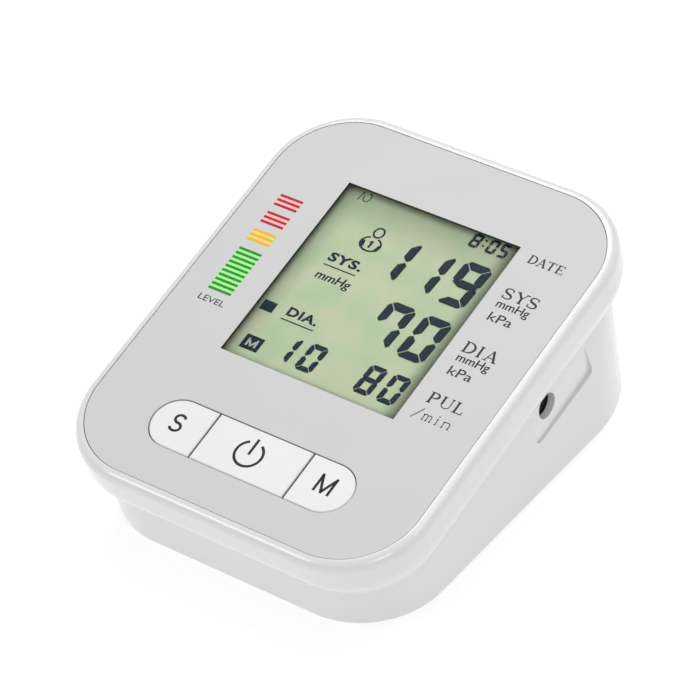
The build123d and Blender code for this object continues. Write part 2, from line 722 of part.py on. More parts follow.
def make_battery_cover():
    """Flush cover with two hooks at the rear, a finger hollow at the front and ribs for grip."""
    x = COVER_HALF - COVER_GAP
    y0 = COVER_Y0 + COVER_GAP
    y1 = COVER_Y1 - COVER_GAP
    z0 = FOOT_PROUD
    z1 = FOOT_PROUD + COVER_T
    cover = block(-x, x, y0, y1, z0, z1)
    cover = fillet(cover.edges().filter_by(Axis.Z), 1.0)
    cover -= Pos(0, y0 + 1.0, z0) * Cylinder(7.0, 1.6)
    for step in range(3):
        cover -= block(-6.0, 6.0, y0 + 11.0 + 2.2 * step, y0 + 12.0 + 2.2 * step, z0 - 1, z0 + 0.5)
    for side in (-1, 1):
        middle = side * 13.0
        cover += block(middle - 3.5, middle + 3.5, y1 - 1.3, y1, z1 - 0.2, z1 + 1.1)
        cover += block(middle - 3.5, middle + 3.5, y1 - 1.3, y1 + 2.8, z1 + 0.3, z1 + 1.1)
    return cover


# ---- fasteners, feet and leads ------------------------------------------------------------
def make_case_screws():
    """Four self-tapping screws driven up from under the base."""
    screws = []
    for x, y in case_screw_places():
        seat = MATE_Z[y] - CASE_SCREW_SEAT
        screw = rod_z(CASE_SCREW_HEAD_R, seat - 1.8, seat, x, y)
        screw += rod_z(CASE_SCREW_R, seat - 0.1, seat + CASE_SCREW_L, x, y)
        slot = block(x - 2.0, x + 2.0, y - 0.35, y + 0.35, seat - 2.5, seat - 0.9)
        cross = block(x - 0.35, x + 0.35, y - 2.0, y + 2.0, seat - 2.5, seat - 0.9)
        screws.append(screw - slot - cross)
    return Compound(children=screws)


def make_pcb_screws():
    top = PCB_TOP - PCB_T
    screws = []
    for x, y in PCB_SCREWS:
        screw = rod_z(2.0, top - 1.4, top, x, y) + rod_z(PCB_SCREW_R, top - 0.1, PCB_SCREW_END, x, y)
        cross = block(x - 1.3, x + 1.3, y - 0.3, y + 0.3, top - 2, top - 0.7)
        screws.append(tilt(screw - cross))
    return Compound(children=screws)


def make_feet():
    """Four rubber feet glued into shallow recesses."""
    feet = []
    for x, y in FEET:
        foot = rod_z(FOOT_R, 0, FOOT_T, x, y)
        feet.append(fillet(foot.edges().group_by(Axis.Z)[0], 0.4))
    return Compound(children=feet)


def make_lead(points):
    """An insulated wire along straight runs joined by tangent arcs."""
    path = FilletPolyline(*points, radius=2.0)
    return sweep(Plane(path @ 0, z_dir=path % 0) * Circle(LEAD_R), path=path)


def make_motor_leads():
    """Two wires from the motor's end cap forward to their board socket."""
    leads = []
    for step in (0.0, 1.6):
        y = PUMP_Y - 6.0 + step
        x = MOTOR_X1 + 5.5 + step
        z = PUMP_Z + 6.0
        run = [(MOTOR_X1 + 1.5, y, z), (x, y, z), (x, 22.0, z + 1.5), (x - 1.0, 16.9, 28.4)]
        leads.append(make_lead(run))
    return Compound(children=leads)


def make_jack_leads():
    """Two wires from the back of the power jack to their board socket."""
    leads = []
    for step in (0.0, 1.6):
        z = PORT_Z - 2.0 + step
        x = 29.0 - step
        run = [(33.4, PORT_Y, z), (x, PORT_Y, z), (x, 3.0, z), (34.0 - step, -1.0, z + 1)]
        leads.append(make_lead(run))
    return Compound(children=leads)


# ---- assembly -----------------------------------------------------------------------------
def make_parts():
    shell = outer_form() - hollow_form()
    parts = {
        "front_housing": make_front_housing(shell),
        "rear_housing": make_rear_housing(shell),
        "face_panel": make_face_panel(),
        "display_lens": make_display_lens(),
        "lcd_front_glass": make_lcd_front_glass(),
        "lcd_rear_glass": make_lcd_rear_glass(),
        "lcd_reflector": make_lcd_reflector(),
        "lcd_frame": make_lcd_frame(),
        "zebra_strip": make_zebra_strip(),
        "tact_switches": make_tact_switches(),
        "main_pcb": make_main_pcb(),
        "board_chips": make_board_chips(),
        "crystal": make_crystal(),
        "capacitors": make_capacitors(),
        "wire_sockets": make_wire_sockets(),
        "buzzer": make_buzzer(),
        "pressure_sensor": make_pressure_sensor(),
        "dc_jack": make_dc_jack(),
        "dc_jack_pin": make_dc_jack_pin(),
        "air_socket": make_air_socket(),
        "air_tee": make_air_tee(),
        "socket_tube": make_socket_tube(),
        "valve_tube": make_valve_tube(),
        "pump_tube": make_pump_tube(),
        "sensor_tube": make_sensor_tube(),
        "pump_cover": make_pump_cover(),
        "pump_diaphragm": make_pump_diaphragm(),
        "pump_body": make_pump_body(),
        "pump_yoke": make_pump_yoke(),
        "pump_crank": make_pump_crank(),
        "motor_can": make_motor_can(),
        "motor_end_cap": make_motor_end_cap(),
        "motor_bushes": make_motor_bushes(),
        "motor_magnets": make_motor_magnets(),
        "motor_shaft": make_motor_shaft(),
        "motor_rotor": make_motor_rotor(),
        "pump_cushion": make_pump_cushion(),
        "valve_bracket": make_valve_bracket(),
        "valve_seat": make_valve_seat(),
        "valve_coil": make_valve_coil(),
        "valve_plunger": make_valve_plunger(),
        "valve_pad": make_valve_pad(),
        "battery_springs": make_battery_springs(),
        "contact_plates": make_contact_plates(),
        "battery_cover": make_battery_cover(),
        "case_screws": make_case_screws(),
        "pcb_screws": make_pcb_screws(),
        "rubber_feet": make_feet(),
        "motor_leads": make_motor_leads(),
        "jack_leads": make_jack_leads(),
    }
    for name in KEY_RANGES:
        parts[name + "_button"] = make_button(name)
        parts[name + "_plunger"] = make_plunger(name)
    for index in range(4):
        parts[f"aa_cell_{index + 1}"] = make_cell(index)
    return parts


os.makedirs("parts", exist_ok=True)
for node, shape in make_parts().items():
    export_step(shape, f"parts/{node}.step")
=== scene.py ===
"""Looks of a desk-top upper-arm blood pressure monitor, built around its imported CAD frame.

Blender's units are metres: +Z up, +Y towards the high rear end, +X to the user's right.
Marks on the face panel and the display are drawn in millimetres in the panel frame:
x to the right from the panel's middle, y up the slope from its front edge.
"""

import json
import math

import bmesh
import bpy
from mathutils import Matrix, Vector

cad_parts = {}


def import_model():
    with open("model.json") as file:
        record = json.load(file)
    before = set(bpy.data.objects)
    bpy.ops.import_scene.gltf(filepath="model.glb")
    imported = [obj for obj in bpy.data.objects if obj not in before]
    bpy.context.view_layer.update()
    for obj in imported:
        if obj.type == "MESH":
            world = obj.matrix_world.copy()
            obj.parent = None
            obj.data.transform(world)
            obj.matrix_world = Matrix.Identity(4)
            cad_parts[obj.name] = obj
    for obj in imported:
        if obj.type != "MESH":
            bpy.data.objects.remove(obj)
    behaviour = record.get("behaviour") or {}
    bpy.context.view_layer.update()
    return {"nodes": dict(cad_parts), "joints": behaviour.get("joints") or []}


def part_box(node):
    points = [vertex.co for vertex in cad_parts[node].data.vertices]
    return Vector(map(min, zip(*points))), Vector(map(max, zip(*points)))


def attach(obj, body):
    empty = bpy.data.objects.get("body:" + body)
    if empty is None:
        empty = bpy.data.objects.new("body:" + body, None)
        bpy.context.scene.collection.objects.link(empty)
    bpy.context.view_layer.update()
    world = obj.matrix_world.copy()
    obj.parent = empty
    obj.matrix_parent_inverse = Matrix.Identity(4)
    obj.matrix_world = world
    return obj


MM = 0.001

# ---- camera -------------------------------------------------------------------------------
CAMERA_TARGET = Vector((-2.85, 1.32, 28.2)) * MM
CAMERA_DISTANCE = 888.7 * MM
CAMERA_AZIMUTH = 40.437
CAMERA_ELEVATION = 41.926
CAMERA_ROLL = 7.628
CAMERA_LENS = 188.39

# ---- display window, in the panel frame (mm) ----------------------------------------------
WINDOW_W = 50.9
WINDOW_L = 57.0
WINDOW_Y = 69.35

# ---- face panel (mm) ------------------------------------------------------------------------
PANEL_W = 94.0
PANEL_L = 116.5
PANEL_R = 19.4
SEAM = 0.2                  # groove between the panel and the rim
KEYS_W = 58.2               # pill-shaped window of the keys
KEYS_L = 14.5
KEYS_Y = 17.55
KEY_SPLIT = 13.8            # the two lines between the keys, from the middle
KEY_GAP = 0.25              # from each key's edge to its line or to the window

# ---- inks and paints ----------------------------------------------------------------------
CASE = (0.675, 0.675, 0.672)
PANEL_GREY = (0.548, 0.548, 0.548)
KEY_WHITE = (0.725, 0.725, 0.722)
INK_DARK = (0.028, 0.028, 0.032)
INK_SOFT = (0.042, 0.040, 0.050)
SEGMENT = (0.004, 0.018, 0.032)
SCALE_COLOURS = {
    "red": ((0.42, 0.022, 0.04), (0.95, 0.47, 0.46)),
    "yellow": ((0.72, 0.44, 0.025), (0.80, 0.60, 0.20)),
    "green": ((0.028, 0.24, 0.028), (0.33, 0.86, 0.26)),
}

INK_SHEEN = 0.12            # inks and the display under its lens mirror little
INK_PROUD = 0.015           # how far ink stands above what it is printed on (mm)
INK_SUNK = 0.02             # and how far it reaches into it, so that no two faces coincide
SEGMENT_PROUD = 0.02        # the same two for the lit segments on the display's glass
SEGMENT_SUNK = 0.01
# painted shade: the strips below darken the groove around the panel and the key gaps, where these are in
# shade
PAINTED_SEAM_SHADE = (-0.8, -0.35)  # heights of the dark strips in the groove and in the key gaps,
PAINTED_GAP_SHADE = (-1.2, -0.6)    # over the panel's top face (mm)

# ---- stage --------------------------------------------------------------------------------
SENSOR_WIDTH = 36.0
CLIP_START, CLIP_END = 0.05, 20.0
SURROUND_STRENGTH = 0.56
FLOOR_HALF = 3.0
FLOOR_GREY = (0.42, 0.42, 0.42)
FLOOR_GLOW = 0.66
LIGHTS = (                  # name, azimuth, elevation, distance (m), size (m), power (W)
    ("key_light", 205.0, 62.0, 1.2, 0.9, 7.4),
    ("front_fill", -35.0, 36.0, 1.5, 0.4, 3.0),
    ("corner_fill", 48.0, 38.0, 1.5, 0.4, 2.2),
    ("side_light", 108.0, 58.0, 0.4, 0.2, 0.2),
)
REVERSED_CELLS = ("aa_cell_2", "aa_cell_4")


# ---- shader helpers -----------------------------------------------------------------------
def add(tree, kind, inputs=None, **settings):
    """A node with its settings, and with values or links on its inputs."""
    made = tree.nodes.new(kind)
    for key, value in settings.items():
        setattr(made, key, value)
    for key, value in (inputs or {}).items():
        if isinstance(value, bpy.types.NodeSocket):
            tree.links.new(value, made.inputs[key])
        else:
            made.inputs[key].default_value = value
    return made


def start_material(name):
    """A material with one Principled shader: its tree, the shader, and object coordinates."""
    material = bpy.data.materials.new("look_" + name)
    material.use_nodes = True
    tree = material.node_tree
    shader = tree.nodes["Principled BSDF"]
    place = add(tree, "ShaderNodeTexCoord").outputs["Object"]
    return material, tree, shader, place


def noise(tree, place, size_mm, detail=2.0):
    """Noise whose features are about size_mm across."""
    return add(tree, "ShaderNodeTexNoise", {"Vector": place, "Scale": 1 / (size_mm * MM), "Detail": detail})


def spread(tree, value, low, high):
    """A noise value stretched over low to high."""
    limits = {"Value": value, "From Min": 0.32, "From Max": 0.68, "To Min": low, "To Max": high}
    return add(tree, "ShaderNodeMapRange", limits).outputs["Result"]


def ramp(tree, value, stops):
    """A colour ramp through (position, colour) stops."""
    made = add(tree, "ShaderNodeValToRGB", {"Fac": value})
    elements = made.color_ramp.elements
    while len(elements) < len(stops):
        elements.new(0.5)
    for element, (position, colour) in zip(elements, stops):
        element.position = position
        element.color = (*colour, 1.0)
    return made.outputs["Color"]


def scaled(colour, factor):
    """A colour made lighter or darker."""
    return tuple(min(1.0, channel * factor) for channel in colour)


def bump(tree, shader, height, depth_mm):
    """A surface raised and sunk by up to depth_mm, following height."""
    made = add(tree, "ShaderNodeBump", {"Height": height, "Distance": depth_mm * MM, "Strength": 1.0})
    tree.links.new(made.outputs["Normal"], shader.inputs["Normal"])


def moulded(name, colour, roughness, grain_mm=0.5, depth_mm=0.004, clouding=0.02, coat=0.0):
    """Moulded plastic or rubber: a fine grain, and slight clouds in its colour and gloss."""
    material, tree, shader, place = start_material(name)
    grain = noise(tree, place, grain_mm, 3.0).outputs["Fac"]
    clouds = noise(tree, place, 18.0, 3.0).outputs["Fac"]
    stops = [(0.3, scaled(colour, 1 - clouding)), (0.7, scaled(colour, 1 + clouding))]
    tree.links.new(ramp(tree, clouds, stops), shader.inputs["Base Color"])
    gloss = spread(tree, grain, roughness - 0.04, roughness + 0.04)
    tree.links.new(gloss, shader.inputs["Roughness"])
    shader.inputs["Coat Weight"].default_value = coat
    shader.inputs["Coat Roughness"].default_value = 0.12
    bump(tree, shader, grain, depth_mm)
    return material


def metal(name, colour, roughness, stretch=(1.0, 12.0, 1.0), depth_mm=0.002):
    """Drawn or stamped metal: streaks along the part, and duller clouds."""
    material, tree, shader, place = start_material(name)
    streak_place = add(tree, "ShaderNodeMapping", {"Vector": place, "Scale": stretch}).outputs["Vector"]
    streaks = noise(tree, streak_place, 1.2, 4.0).outputs["Fac"]
    clouds = noise(tree, place, 4.0, 3.0).outputs["Fac"]
    stops = [(0.3, scaled(colour, 0.86)), (0.7, scaled(colour, 1.08))]
    tree.links.new(ramp(tree, clouds, stops), shader.inputs["Base Color"])
    tree.links.new(spread(tree, streaks, roughness * 0.7, roughness * 1.3), shader.inputs["Roughness"])
    shader.inputs["Metallic"].default_value = 1.0
    bump(tree, shader, streaks, depth_mm)
    return material


def ink_and_painted_shade(name, colour, roughness=0.45, mottle=0.12):
    """Printed ink, also used for dark strips and for the strips of painted shade: a slightly uneven film."""
    material, tree, shader, place = start_material(name)
    film = noise(tree, place, 0.35, 3.0).outputs["Fac"]
    stops = [(0.35, scaled(colour, 1 - mottle)), (0.65, scaled(colour, 1 + mottle))]
    tree.links.new(ramp(tree, film, stops), shader.inputs["Base Color"])
    tree.links.new(spread(tree, film, roughness - 0.06, roughness + 0.06), shader.inputs["Roughness"])
    shader.inputs["Specular IOR Level"].default_value = INK_SHEEN
    bump(tree, shader, film, 0.001)
    return material


def clear_lens(name):
    """Clear acrylic: almost all see-through, with a faint mirror and hairline polish marks."""
    material, tree, shader, place = start_material(name)
    polish = noise(tree, place, 3.0, 4.0).outputs["Fac"]
    stops = [(0.3, (0.012, 0.014, 0.013)), (0.7, (0.02, 0.022, 0.02))]
    tree.links.new(ramp(tree, polish, stops), shader.inputs["Base Color"])
    tree.links.new(spread(tree, polish, 0.05, 0.12), shader.inputs["Roughness"])
    shader.inputs["Alpha"].default_value = 0.05
    return material


def panel_coordinate(tree, place, plane):
    """Row-frame coordinates turned into panel millimetres, as separate x, y and z."""
    inverse = plane.inverted()
    turned = add(
        tree,
        "ShaderNodeMapping",
        {
            "Vector": place,
            "Location": inverse.translation,
            "Rotation": inverse.to_euler(),
            "Scale": inverse.to_scale(),
        },
    )
    return add(tree, "ShaderNodeSeparateXYZ", {"Vector": turned.outputs["Vector"]}).outputs


def painted_edge_shade(tree, distance, width, darkness):
    """Painted shade for the display: 1 away from an edge of the window, falling to 1 - darkness at it, over
    width (mm).
    """
    limits = {"Value": distance, "From Min": 0.0, "From Max": width, "To Min": 1 - darkness, "To Max": 1.0}
    return add(tree, "ShaderNodeMapRange", limits, interpolation_type="SMOOTHSTEP").outputs["Result"]


def display_glass(name, plane):
    """The display's greenish ground, mottled by its polariser, with painted shade that darkens it towards the
    window's edges, where the window's walls shade it.
    """
    material, tree, shader, place = start_material(name)
    axes = panel_coordinate(tree, place, plane)
    clouds = noise(tree, place, 8.0, 4.0).outputs["Fac"]
    green, pale, cream = (0.44, 0.58, 0.36), (0.50, 0.60, 0.385), (0.56, 0.605, 0.415)
    ground = ramp(tree, clouds, [(0.34, green), (0.50, pale), (0.66, cream)])
    half_w = WINDOW_W / 2
    edges = (                   # painted shade along each window edge: axis, sign, offset of the edge, width of its shade, darkness
        ("X", 1, half_w + 0.6, 7.0, 0.34),
        ("X", -1, half_w + 0.4, 6.2, 0.90),
        ("Y", -1, WINDOW_Y + WINDOW_L / 2 + 1.5, 15.0, 0.36),
        ("Y", 1, -(WINDOW_Y - WINDOW_L / 2) + 0.5, 3.2, 0.45),
    )
    shade = None
    for axis, sign, offset, width, darkness in edges:
        away = add(tree, "ShaderNodeMath", {0: axes[axis], 1: sign, 2: offset}, operation="MULTIPLY_ADD")
        part = painted_edge_shade(tree, away.outputs["Value"], width, darkness)
        if shade is None:
            shade = part
        else:
            shade = add(tree, "ShaderNodeMath", {0: shade, 1: part}, operation="MULTIPLY").outputs["Value"]
    # painted shade: the ground darkened towards the window's edges
    toned = add(tree, "ShaderNodeVectorMath", {0: ground, "Scale": shade}, operation="SCALE")
    tree.links.new(toned.outputs["Vector"], shader.inputs["Base Color"])
    tree.links.new(spread(tree, clouds, 0.32, 0.42), shader.inputs["Roughness"])
    shader.inputs["Specular IOR Level"].default_value = INK_SHEEN
    return material


def circuit_board(name):
    """Green solder mask with copper tracks under it."""
    material, tree, shader, place = start_material(name)
    cells = {"Vector": place, "Scale": 1 / (2.2 * MM)}
    tracks = add(tree, "ShaderNodeTexVoronoi", cells, feature="DISTANCE_TO_EDGE", distance="EUCLIDEAN")
    stops = [(0.03, (0.028, 0.175, 0.06)), (0.07, (0.018, 0.14, 0.045))]
    tree.links.new(ramp(tree, tracks.outputs["Distance"], stops), shader.inputs["Base Color"])
    tree.links.new(
        spread(tree, noise(tree, place, 1.0).outputs["Fac"], 0.25, 0.4), shader.inputs["Roughness"]
    )
    bump(tree, shader, tracks.outputs["Distance"], 0.01)
    return material


def cell_wrap(name, nub_first):
    """A plain printed battery sleeve: blue-grey with a pale band towards its nub."""
    material, tree, shader, place = start_material(name)
    whole = tree.nodes["Texture Coordinate"].outputs["Generated"]
    end = add(tree, "ShaderNodeSeparateXYZ", {"Vector": whole}).outputs["Y"]
    if not nub_first:
        end = add(tree, "ShaderNodeMath", {0: 1.0, 1: end}, operation="SUBTRACT").outputs["Value"]
    bare = (0.70, 0.70, 0.68)
    sleeve = (0.045, 0.10, 0.17)
    band = (0.62, 0.64, 0.66)
    stops = [(0.0, bare), (0.035, bare), (0.04, band), (0.22, band)]
    stops += [(0.225, sleeve), (0.975, sleeve), (0.98, bare)]
    tree.links.new(ramp(tree, end, stops), shader.inputs["Base Color"])
    film = noise(tree, place, 2.5, 3.0).outputs["Fac"]
    tree.links.new(spread(tree, film, 0.22, 0.36), shader.inputs["Roughness"])
    shader.inputs["Metallic"].default_value = 0.35
    bump(tree, shader, film, 0.01)
    return material


# ---- the face panel's plane ----------------------------------------------------------------
def panel_plane(frame):
    """Matrix from panel millimetres to the row frame; height 0 is the panel's top face."""
    press = next(joint for joint in frame["joints"] if joint["name"] == "set_key_press")
    out = -Vector(press["axis"]).normalized()
    right = Vector((1.0, 0.0, 0.0))
    up_slope = out.cross(right)
    low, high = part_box("face_panel")
    span = high - low
    share = out.z**2 - out.y**2
    length = (span.y * out.z + span.z * out.y) / share
    thickness = (span.z * out.z + span.y * out.y) / share
    origin = (low + high) / 2 - up_slope * length / 2 + out * thickness / 2
    turn = Matrix((right, up_slope, out)).transposed().to_4x4()
    return Matrix.Translation(origin) @ turn @ Matrix.Scale(MM, 4)


def top_height(frame, node, plane):
    """Height of a CAD node's highest point over the panel's top face, in millimetres."""
    inverse = plane.inverted()
    return max((inverse @ vertex.co).z for vertex in frame["nodes"][node].data.vertices)


# ---- drawing thin marks --------------------------------------------------------------------
def slab(mesh, outline):
    """A flat closed shape from its outline, one unit thick."""
    low = [mesh.verts.new((x, y, 0.0)) for x, y in outline]
    high = [mesh.verts.new((x, y, 1.0)) for x, y in outline]
    mesh.faces.new(high)
    mesh.faces.new(low[::-1])
    count = len(outline)
    for i in range(count):
        j = (i + 1) % count
        mesh.faces.new((low[i], low[j], high[j], high[i]))


def rectangle(mesh, x0, x1, y0, y1):
    slab(mesh, [(x0, y0), (x1, y0), (x1, y1), (x0, y1)])


def ribbon(mesh, points, halves, closed=False):
    """A stroke along points, with a half width at each (or one for all), one unit thick."""
    count = len(points)
    if not hasattr(halves, "__len__"):
        halves = [halves] * count
    sides = []
    for i, (x, y) in enumerate(points):
        before = points[(i - 1) % count] if closed or i else points[i]
        after = points[(i + 1) % count] if closed or i < count - 1 else points[i]
        along = Vector((after[0] - before[0], after[1] - before[1])).normalized()
        offset = Vector((-along.y, along.x)) * halves[i]
        corners = []
        for z in (0.0, 1.0):
            for sign in (1, -1):
                corners.append(mesh.verts.new((x + sign * offset.x, y + sign * offset.y, z)))
        sides.append(corners)
    for i in range(count if closed else count - 1):
        a, b = sides[i], sides[(i + 1) % count]
        mesh.faces.new((a[2], a[3], b[3], b[2]))
        mesh.faces.new((a[1], a[0], b[0], b[1]))
        mesh.faces.new((a[0], a[2], b[2], b[0]))
        mesh.faces.new((a[3], a[1], b[1], b[3]))
    if not closed:
        first, last = sides[0], sides[-1]
        mesh.faces.new((first[0], first[1], first[3], first[2]))
        mesh.faces.new((last[1], last[0], last[2], last[3]))


def arc(cx, cy, rx, ry, start, end, steps=16):
    """Points on an ellipse from start to end, in degrees."""
    points = []
    for i in range(steps + 1):
        angle = math.radians(start + (end - start) * i / steps)
        points.append((cx + rx * math.cos(angle), cy + ry * math.sin(angle)))
    return points


def font_mesh(text, bold, shear, spacing):
    """Text in the built-in sans face as a mesh one unit thick, with the height of its capitals."""
    curve = bpy.data.curves.new("lettering", "FONT")
    curve.body = text
    curve.extrude = 0.5
    curve.offset = bold
    curve.shear = shear
    curve.space_character = spacing
    curve.resolution_u = 4
    holder = bpy.data.objects.new("lettering", curve)
    made = bpy.data.meshes.new_from_object(holder)
    bpy.data.objects.remove(holder)
    bpy.data.curves.remove(curve)
    return made


def letters(mesh, text, left, base, width, cap, bold=0.0, shear=0.0, spacing=1.0):
    """Sans lettering fitted to a width and to a height of its capitals."""
    probe = font_mesh("H", bold, 0.0, 1.0)
    font_cap = max(vertex.co.y for vertex in probe.vertices)
    font_base = min(vertex.co.y for vertex in probe.vertices)
    made = font_mesh(text, bold, shear, spacing)
    xs = [vertex.co.x for vertex in made.vertices]
    wide = width / (max(xs) - min(xs))
    tall = cap / (font_cap - font_base)
    made.transform(
        Matrix.Translation((left, base, 0.5))
        @ Matrix.Diagonal((wide, tall, 1.0, 1.0))
        @ Matrix.Translation((-min(xs), -font_base, 0.0))
    )
    mesh.from_mesh(made)
    bpy.data.meshes.remove(made)
    bpy.data.meshes.remove(probe)


def mark(name, mesh, plane, low, high, material, body):
    """Turns drawn marks into a piece between two heights over the panel (mm) that rides on a body."""
    bmesh.ops.remove_doubles(mesh, verts=mesh.verts[:], dist=1e-4)
    bmesh.ops.recalc_face_normals(mesh, faces=mesh.faces[:])
    data = bpy.data.meshes.new(name)
    mesh.to_mesh(data)
    mesh.free()
    lift = Matrix.Translation((0.0, 0.0, low)) @ Matrix.Diagonal((1.0, 1.0, high - low, 1.0))
    data.transform(plane @ lift)
    data.materials.append(material)
    piece = bpy.data.objects.new(name, data)
    bpy.context.scene.collection.objects.link(piece)
    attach(piece, body)


# ---- serif letters of the printed labels ---------------------------------------------------
STEM = 0.09                # half widths of thick and thin strokes, for capitals 1 high
HAIR = 0.04


def serif_foot(x, y, reach=0.13):
    """A small bar across a stem's end."""
    inward = HAIR if y < 0.5 else -HAIR
    return ([(x - reach, y + inward), (x + reach, y + inward)], HAIR)


def bowl(cx, cy, rx, ry):
    """A right-hand bowl, thickest at its side."""
    points = arc(cx, cy, rx, ry, 90, -90)
    last = len(points) - 1
    return (points, [HAIR + (STEM - HAIR) * math.sin(math.pi * i / last) for i in range(last + 1)])


def serif_s():
    """An S: thin at its ends, thickest in the middle of its spine."""
    upper = arc(0.38, 0.745, 0.245, 0.225, 30, 250, 12)
    lower = arc(0.38, 0.255, 0.265, 0.225, 70, -150, 12)
    points = upper + lower
    last = len(points) - 1
    halves = [HAIR + (STEM - HAIR) * math.sin(math.pi * i / last) ** 2 for i in range(last + 1)]
    ticks = [([(0.60, 0.70), (0.60, 0.97)], HAIR), ([(0.13, 0.03), (0.13, 0.31)], HAIR)]
    return [(points, halves)] + ticks


def serif_glyph(letter):
    """Strokes of one capital, 1 high and about 0.8 wide."""
    if letter == "D":
        stem = [([(0.2, 0.0), (0.2, 1.0)], STEM), bowl(0.33, 0.5, 0.41, 0.5 - HAIR)]
        return stem + [([(0.06, HAIR), (0.33, HAIR)], HAIR), ([(0.06, 1 - HAIR), (0.33, 1 - HAIR)], HAIR)]
    if letter == "A":
        legs = [([(0.14, 0.0), (0.42, 0.98)], HAIR), ([(0.40, 1.0), (0.72, 0.0)], STEM)]
        return legs + [([(0.24, 0.33), (0.62, 0.33)], HAIR), serif_foot(0.14, 0), serif_foot(0.72, 0)]
    if letter == "T":
        top = ([(0.06, 1 - HAIR), (0.76, 1 - HAIR)], HAIR)
        ticks = [([(x, 1.0), (x, 0.76)], HAIR) for x in (0.07, 0.75)]
        return [([(0.41, 0.0), (0.41, 1.0)], STEM), top, serif_foot(0.41, 0)] + ticks
    if letter == "E":
        bars = [([(0.08, HAIR), (0.72, HAIR)], HAIR), ([(0.08, 1 - HAIR), (0.68, 1 - HAIR)], HAIR)]
        ticks = [([(0.71, 0.0), (0.71, 0.26)], HAIR), ([(0.67, 1.0), (0.67, 0.76)], HAIR)]
        middle = [([(0.22, 0.51), (0.52, 0.51)], HAIR), ([(0.51, 0.40), (0.51, 0.62)], HAIR)]
        return [([(0.22, 0.0), (0.22, 1.0)], STEM)] + bars + ticks + middle
    if letter == "I":
        return [([(0.4, 0.0), (0.4, 1.0)], STEM), serif_foot(0.4, 0), serif_foot(0.4, 1)]
    if letter == "L":
        foot = [([(0.1, HAIR), (0.72, HAIR)], HAIR), ([(0.71, 0.0), (0.71, 0.28)], HAIR)]
        return [([(0.25, 0.0), (0.25, 1.0)], STEM), serif_foot(0.25, 1)] + foot
    if letter == "P":
        joins = [([(0.1, 1 - HAIR), (0.40, 1 - HAIR)], HAIR), ([(0.25, 0.49), (0.40, 0.49)], HAIR)]
        return [([(0.24, 0.0), (0.24, 1.0)], STEM), bowl(0.40, 0.73, 0.27, 0.24), serif_foot(0.24, 0)] + joins
    if letter == "U":
        cup = arc(0.44, 0.3, 0.26, 0.3 - HAIR, 180, 360)
        right = ([(0.70, 0.3), (0.70, 1.0)], HAIR)
        feet = [serif_foot(0.18, 1), serif_foot(0.70, 1, 0.1)]
        return [([(0.18, 0.3), (0.18, 1.0)], STEM), (cup, HAIR), right] + feet
    if letter == "Y":
        arms = [([(0.10, 1.0), (0.42, 0.48)], STEM), ([(0.72, 1.0), (0.42, 0.48)], HAIR)]
        feet = [serif_foot(x, y) for x, y in ((0.42, 0), (0.1, 1), (0.72, 1))]
        return arms + [([(0.42, 0.0), (0.42, 0.5)], STEM)] + feet
    return serif_s()


def thin_glyph(letter):
    """Strokes of the narrow letters under the pulse label, 1 high and about 0.8 wide."""
    line = 0.042
    legs = {"m": (0.10, 0.40, 0.70), "n": (0.14, 0.62), "i": (0.40,)}
    if letter == "/":
        return [([(0.02, -0.1), (0.62, 1.05)], line)]
    height = 0.62
    strokes = [([(x, 0.0), (x, height - 0.1 * bool(i))], line) for i, x in enumerate(legs[letter])]
    for left, right in zip(legs[letter], legs[letter][1:]):
        strokes.append((arc((left + right) / 2, height - 0.12, (right - left) / 2, 0.12, 180, 0, 8), line))
    for x in legs[letter]:
        strokes.append(([(x - 0.08, line), (x + 0.08, line)], line))
    strokes.append(([(legs[letter][0] - 0.1, height - line), (legs[letter][0], height - line)], line))
    if letter == "i":
        strokes.append(([(0.40, 0.80), (0.40, 0.90)], line * 1.5))
    return strokes


NARROW = {"I": 0.6, "/": 0.8, "i": 0.8}     # share of the pitch that a narrow letter takes


def drawn_word(mesh, word, glyph, left, base, cap, pitch, aspect):
    """Letters built from strokes, set pitch apart."""
    for letter in word:
        share = NARROW.get(letter, 1.0)
        x0 = left + pitch * (share - 1) / 2
        left += pitch * share
        for points, halves in glyph(letter):
            moved = [(x0 + x * cap * aspect, base + y * cap) for x, y in points]
            if hasattr(halves, "__len__"):
                widths = [half * cap for half in halves]
            else:
                widths = halves * cap
            ribbon(mesh, moved, widths)


# ---- seven-segment digits ------------------------------------------------------------------
SLANT = 0.062
SEGMENTS_OF = {
    "0": "abcdef",
    "1": "bc",
    "5": "acdfg",
    "7": "abcf",
    "8": "abcdefg",
    "9": "abcdfg",
}


def digit_segment(segment, width, height, thick, gap, cut):
    """Outline of one segment of an upright digit whose lower left corner is at 0, 0."""
    seam = gap / math.sqrt(2)
    half_seam = seam / 2
    middle = height / 2
    rise = gap * 0.56
    if segment in "ad":
        shape = [
            (cut, height),
            (cut / 2 + half_seam, height - cut / 2 + half_seam),
            (thick + seam, height - thick),
            (width - thick - seam, height - thick),
            (width - cut / 2 - half_seam, height - cut / 2 + half_seam),
            (width - cut, height),
        ]
    elif segment == "g":
        inner = thick + 2 * rise
        shape = [
            (2 * rise, middle),
            (inner, middle + thick / 2),
            (width - inner, middle + thick / 2),
            (width - 2 * rise, middle),
            (width - inner, middle - thick / 2),
            (inner, middle - thick / 2),
        ]
    else:
        shape = [
            (0.0, height - cut),
            (cut / 2 - half_seam, height - cut / 2 - half_seam),
            (thick, height - thick - seam),
            (thick, middle + thick / 2 + rise),
            (thick * 0.4, middle + rise),
            (0.0, middle + rise + thick * 0.3),
        ]
    if segment in "bc":
        shape = [(width - x, y) for x, y in shape]
    if segment in "cde":
        shape = [(x, height - y) for x, y in shape]
    return shape


def digits(mesh, text, right_edges, base, width, height, thick, gap):
    """Slanted digits, each placed by its lower right corner."""
    for character, right in zip(text, right_edges):
        for segment in SEGMENTS_OF[character]:
            outline = digit_segment(segment, width, height, thick, gap, thick * 0.6)
            slab(mesh, [(right - width + x + SLANT * y, base + y) for x, y in outline])


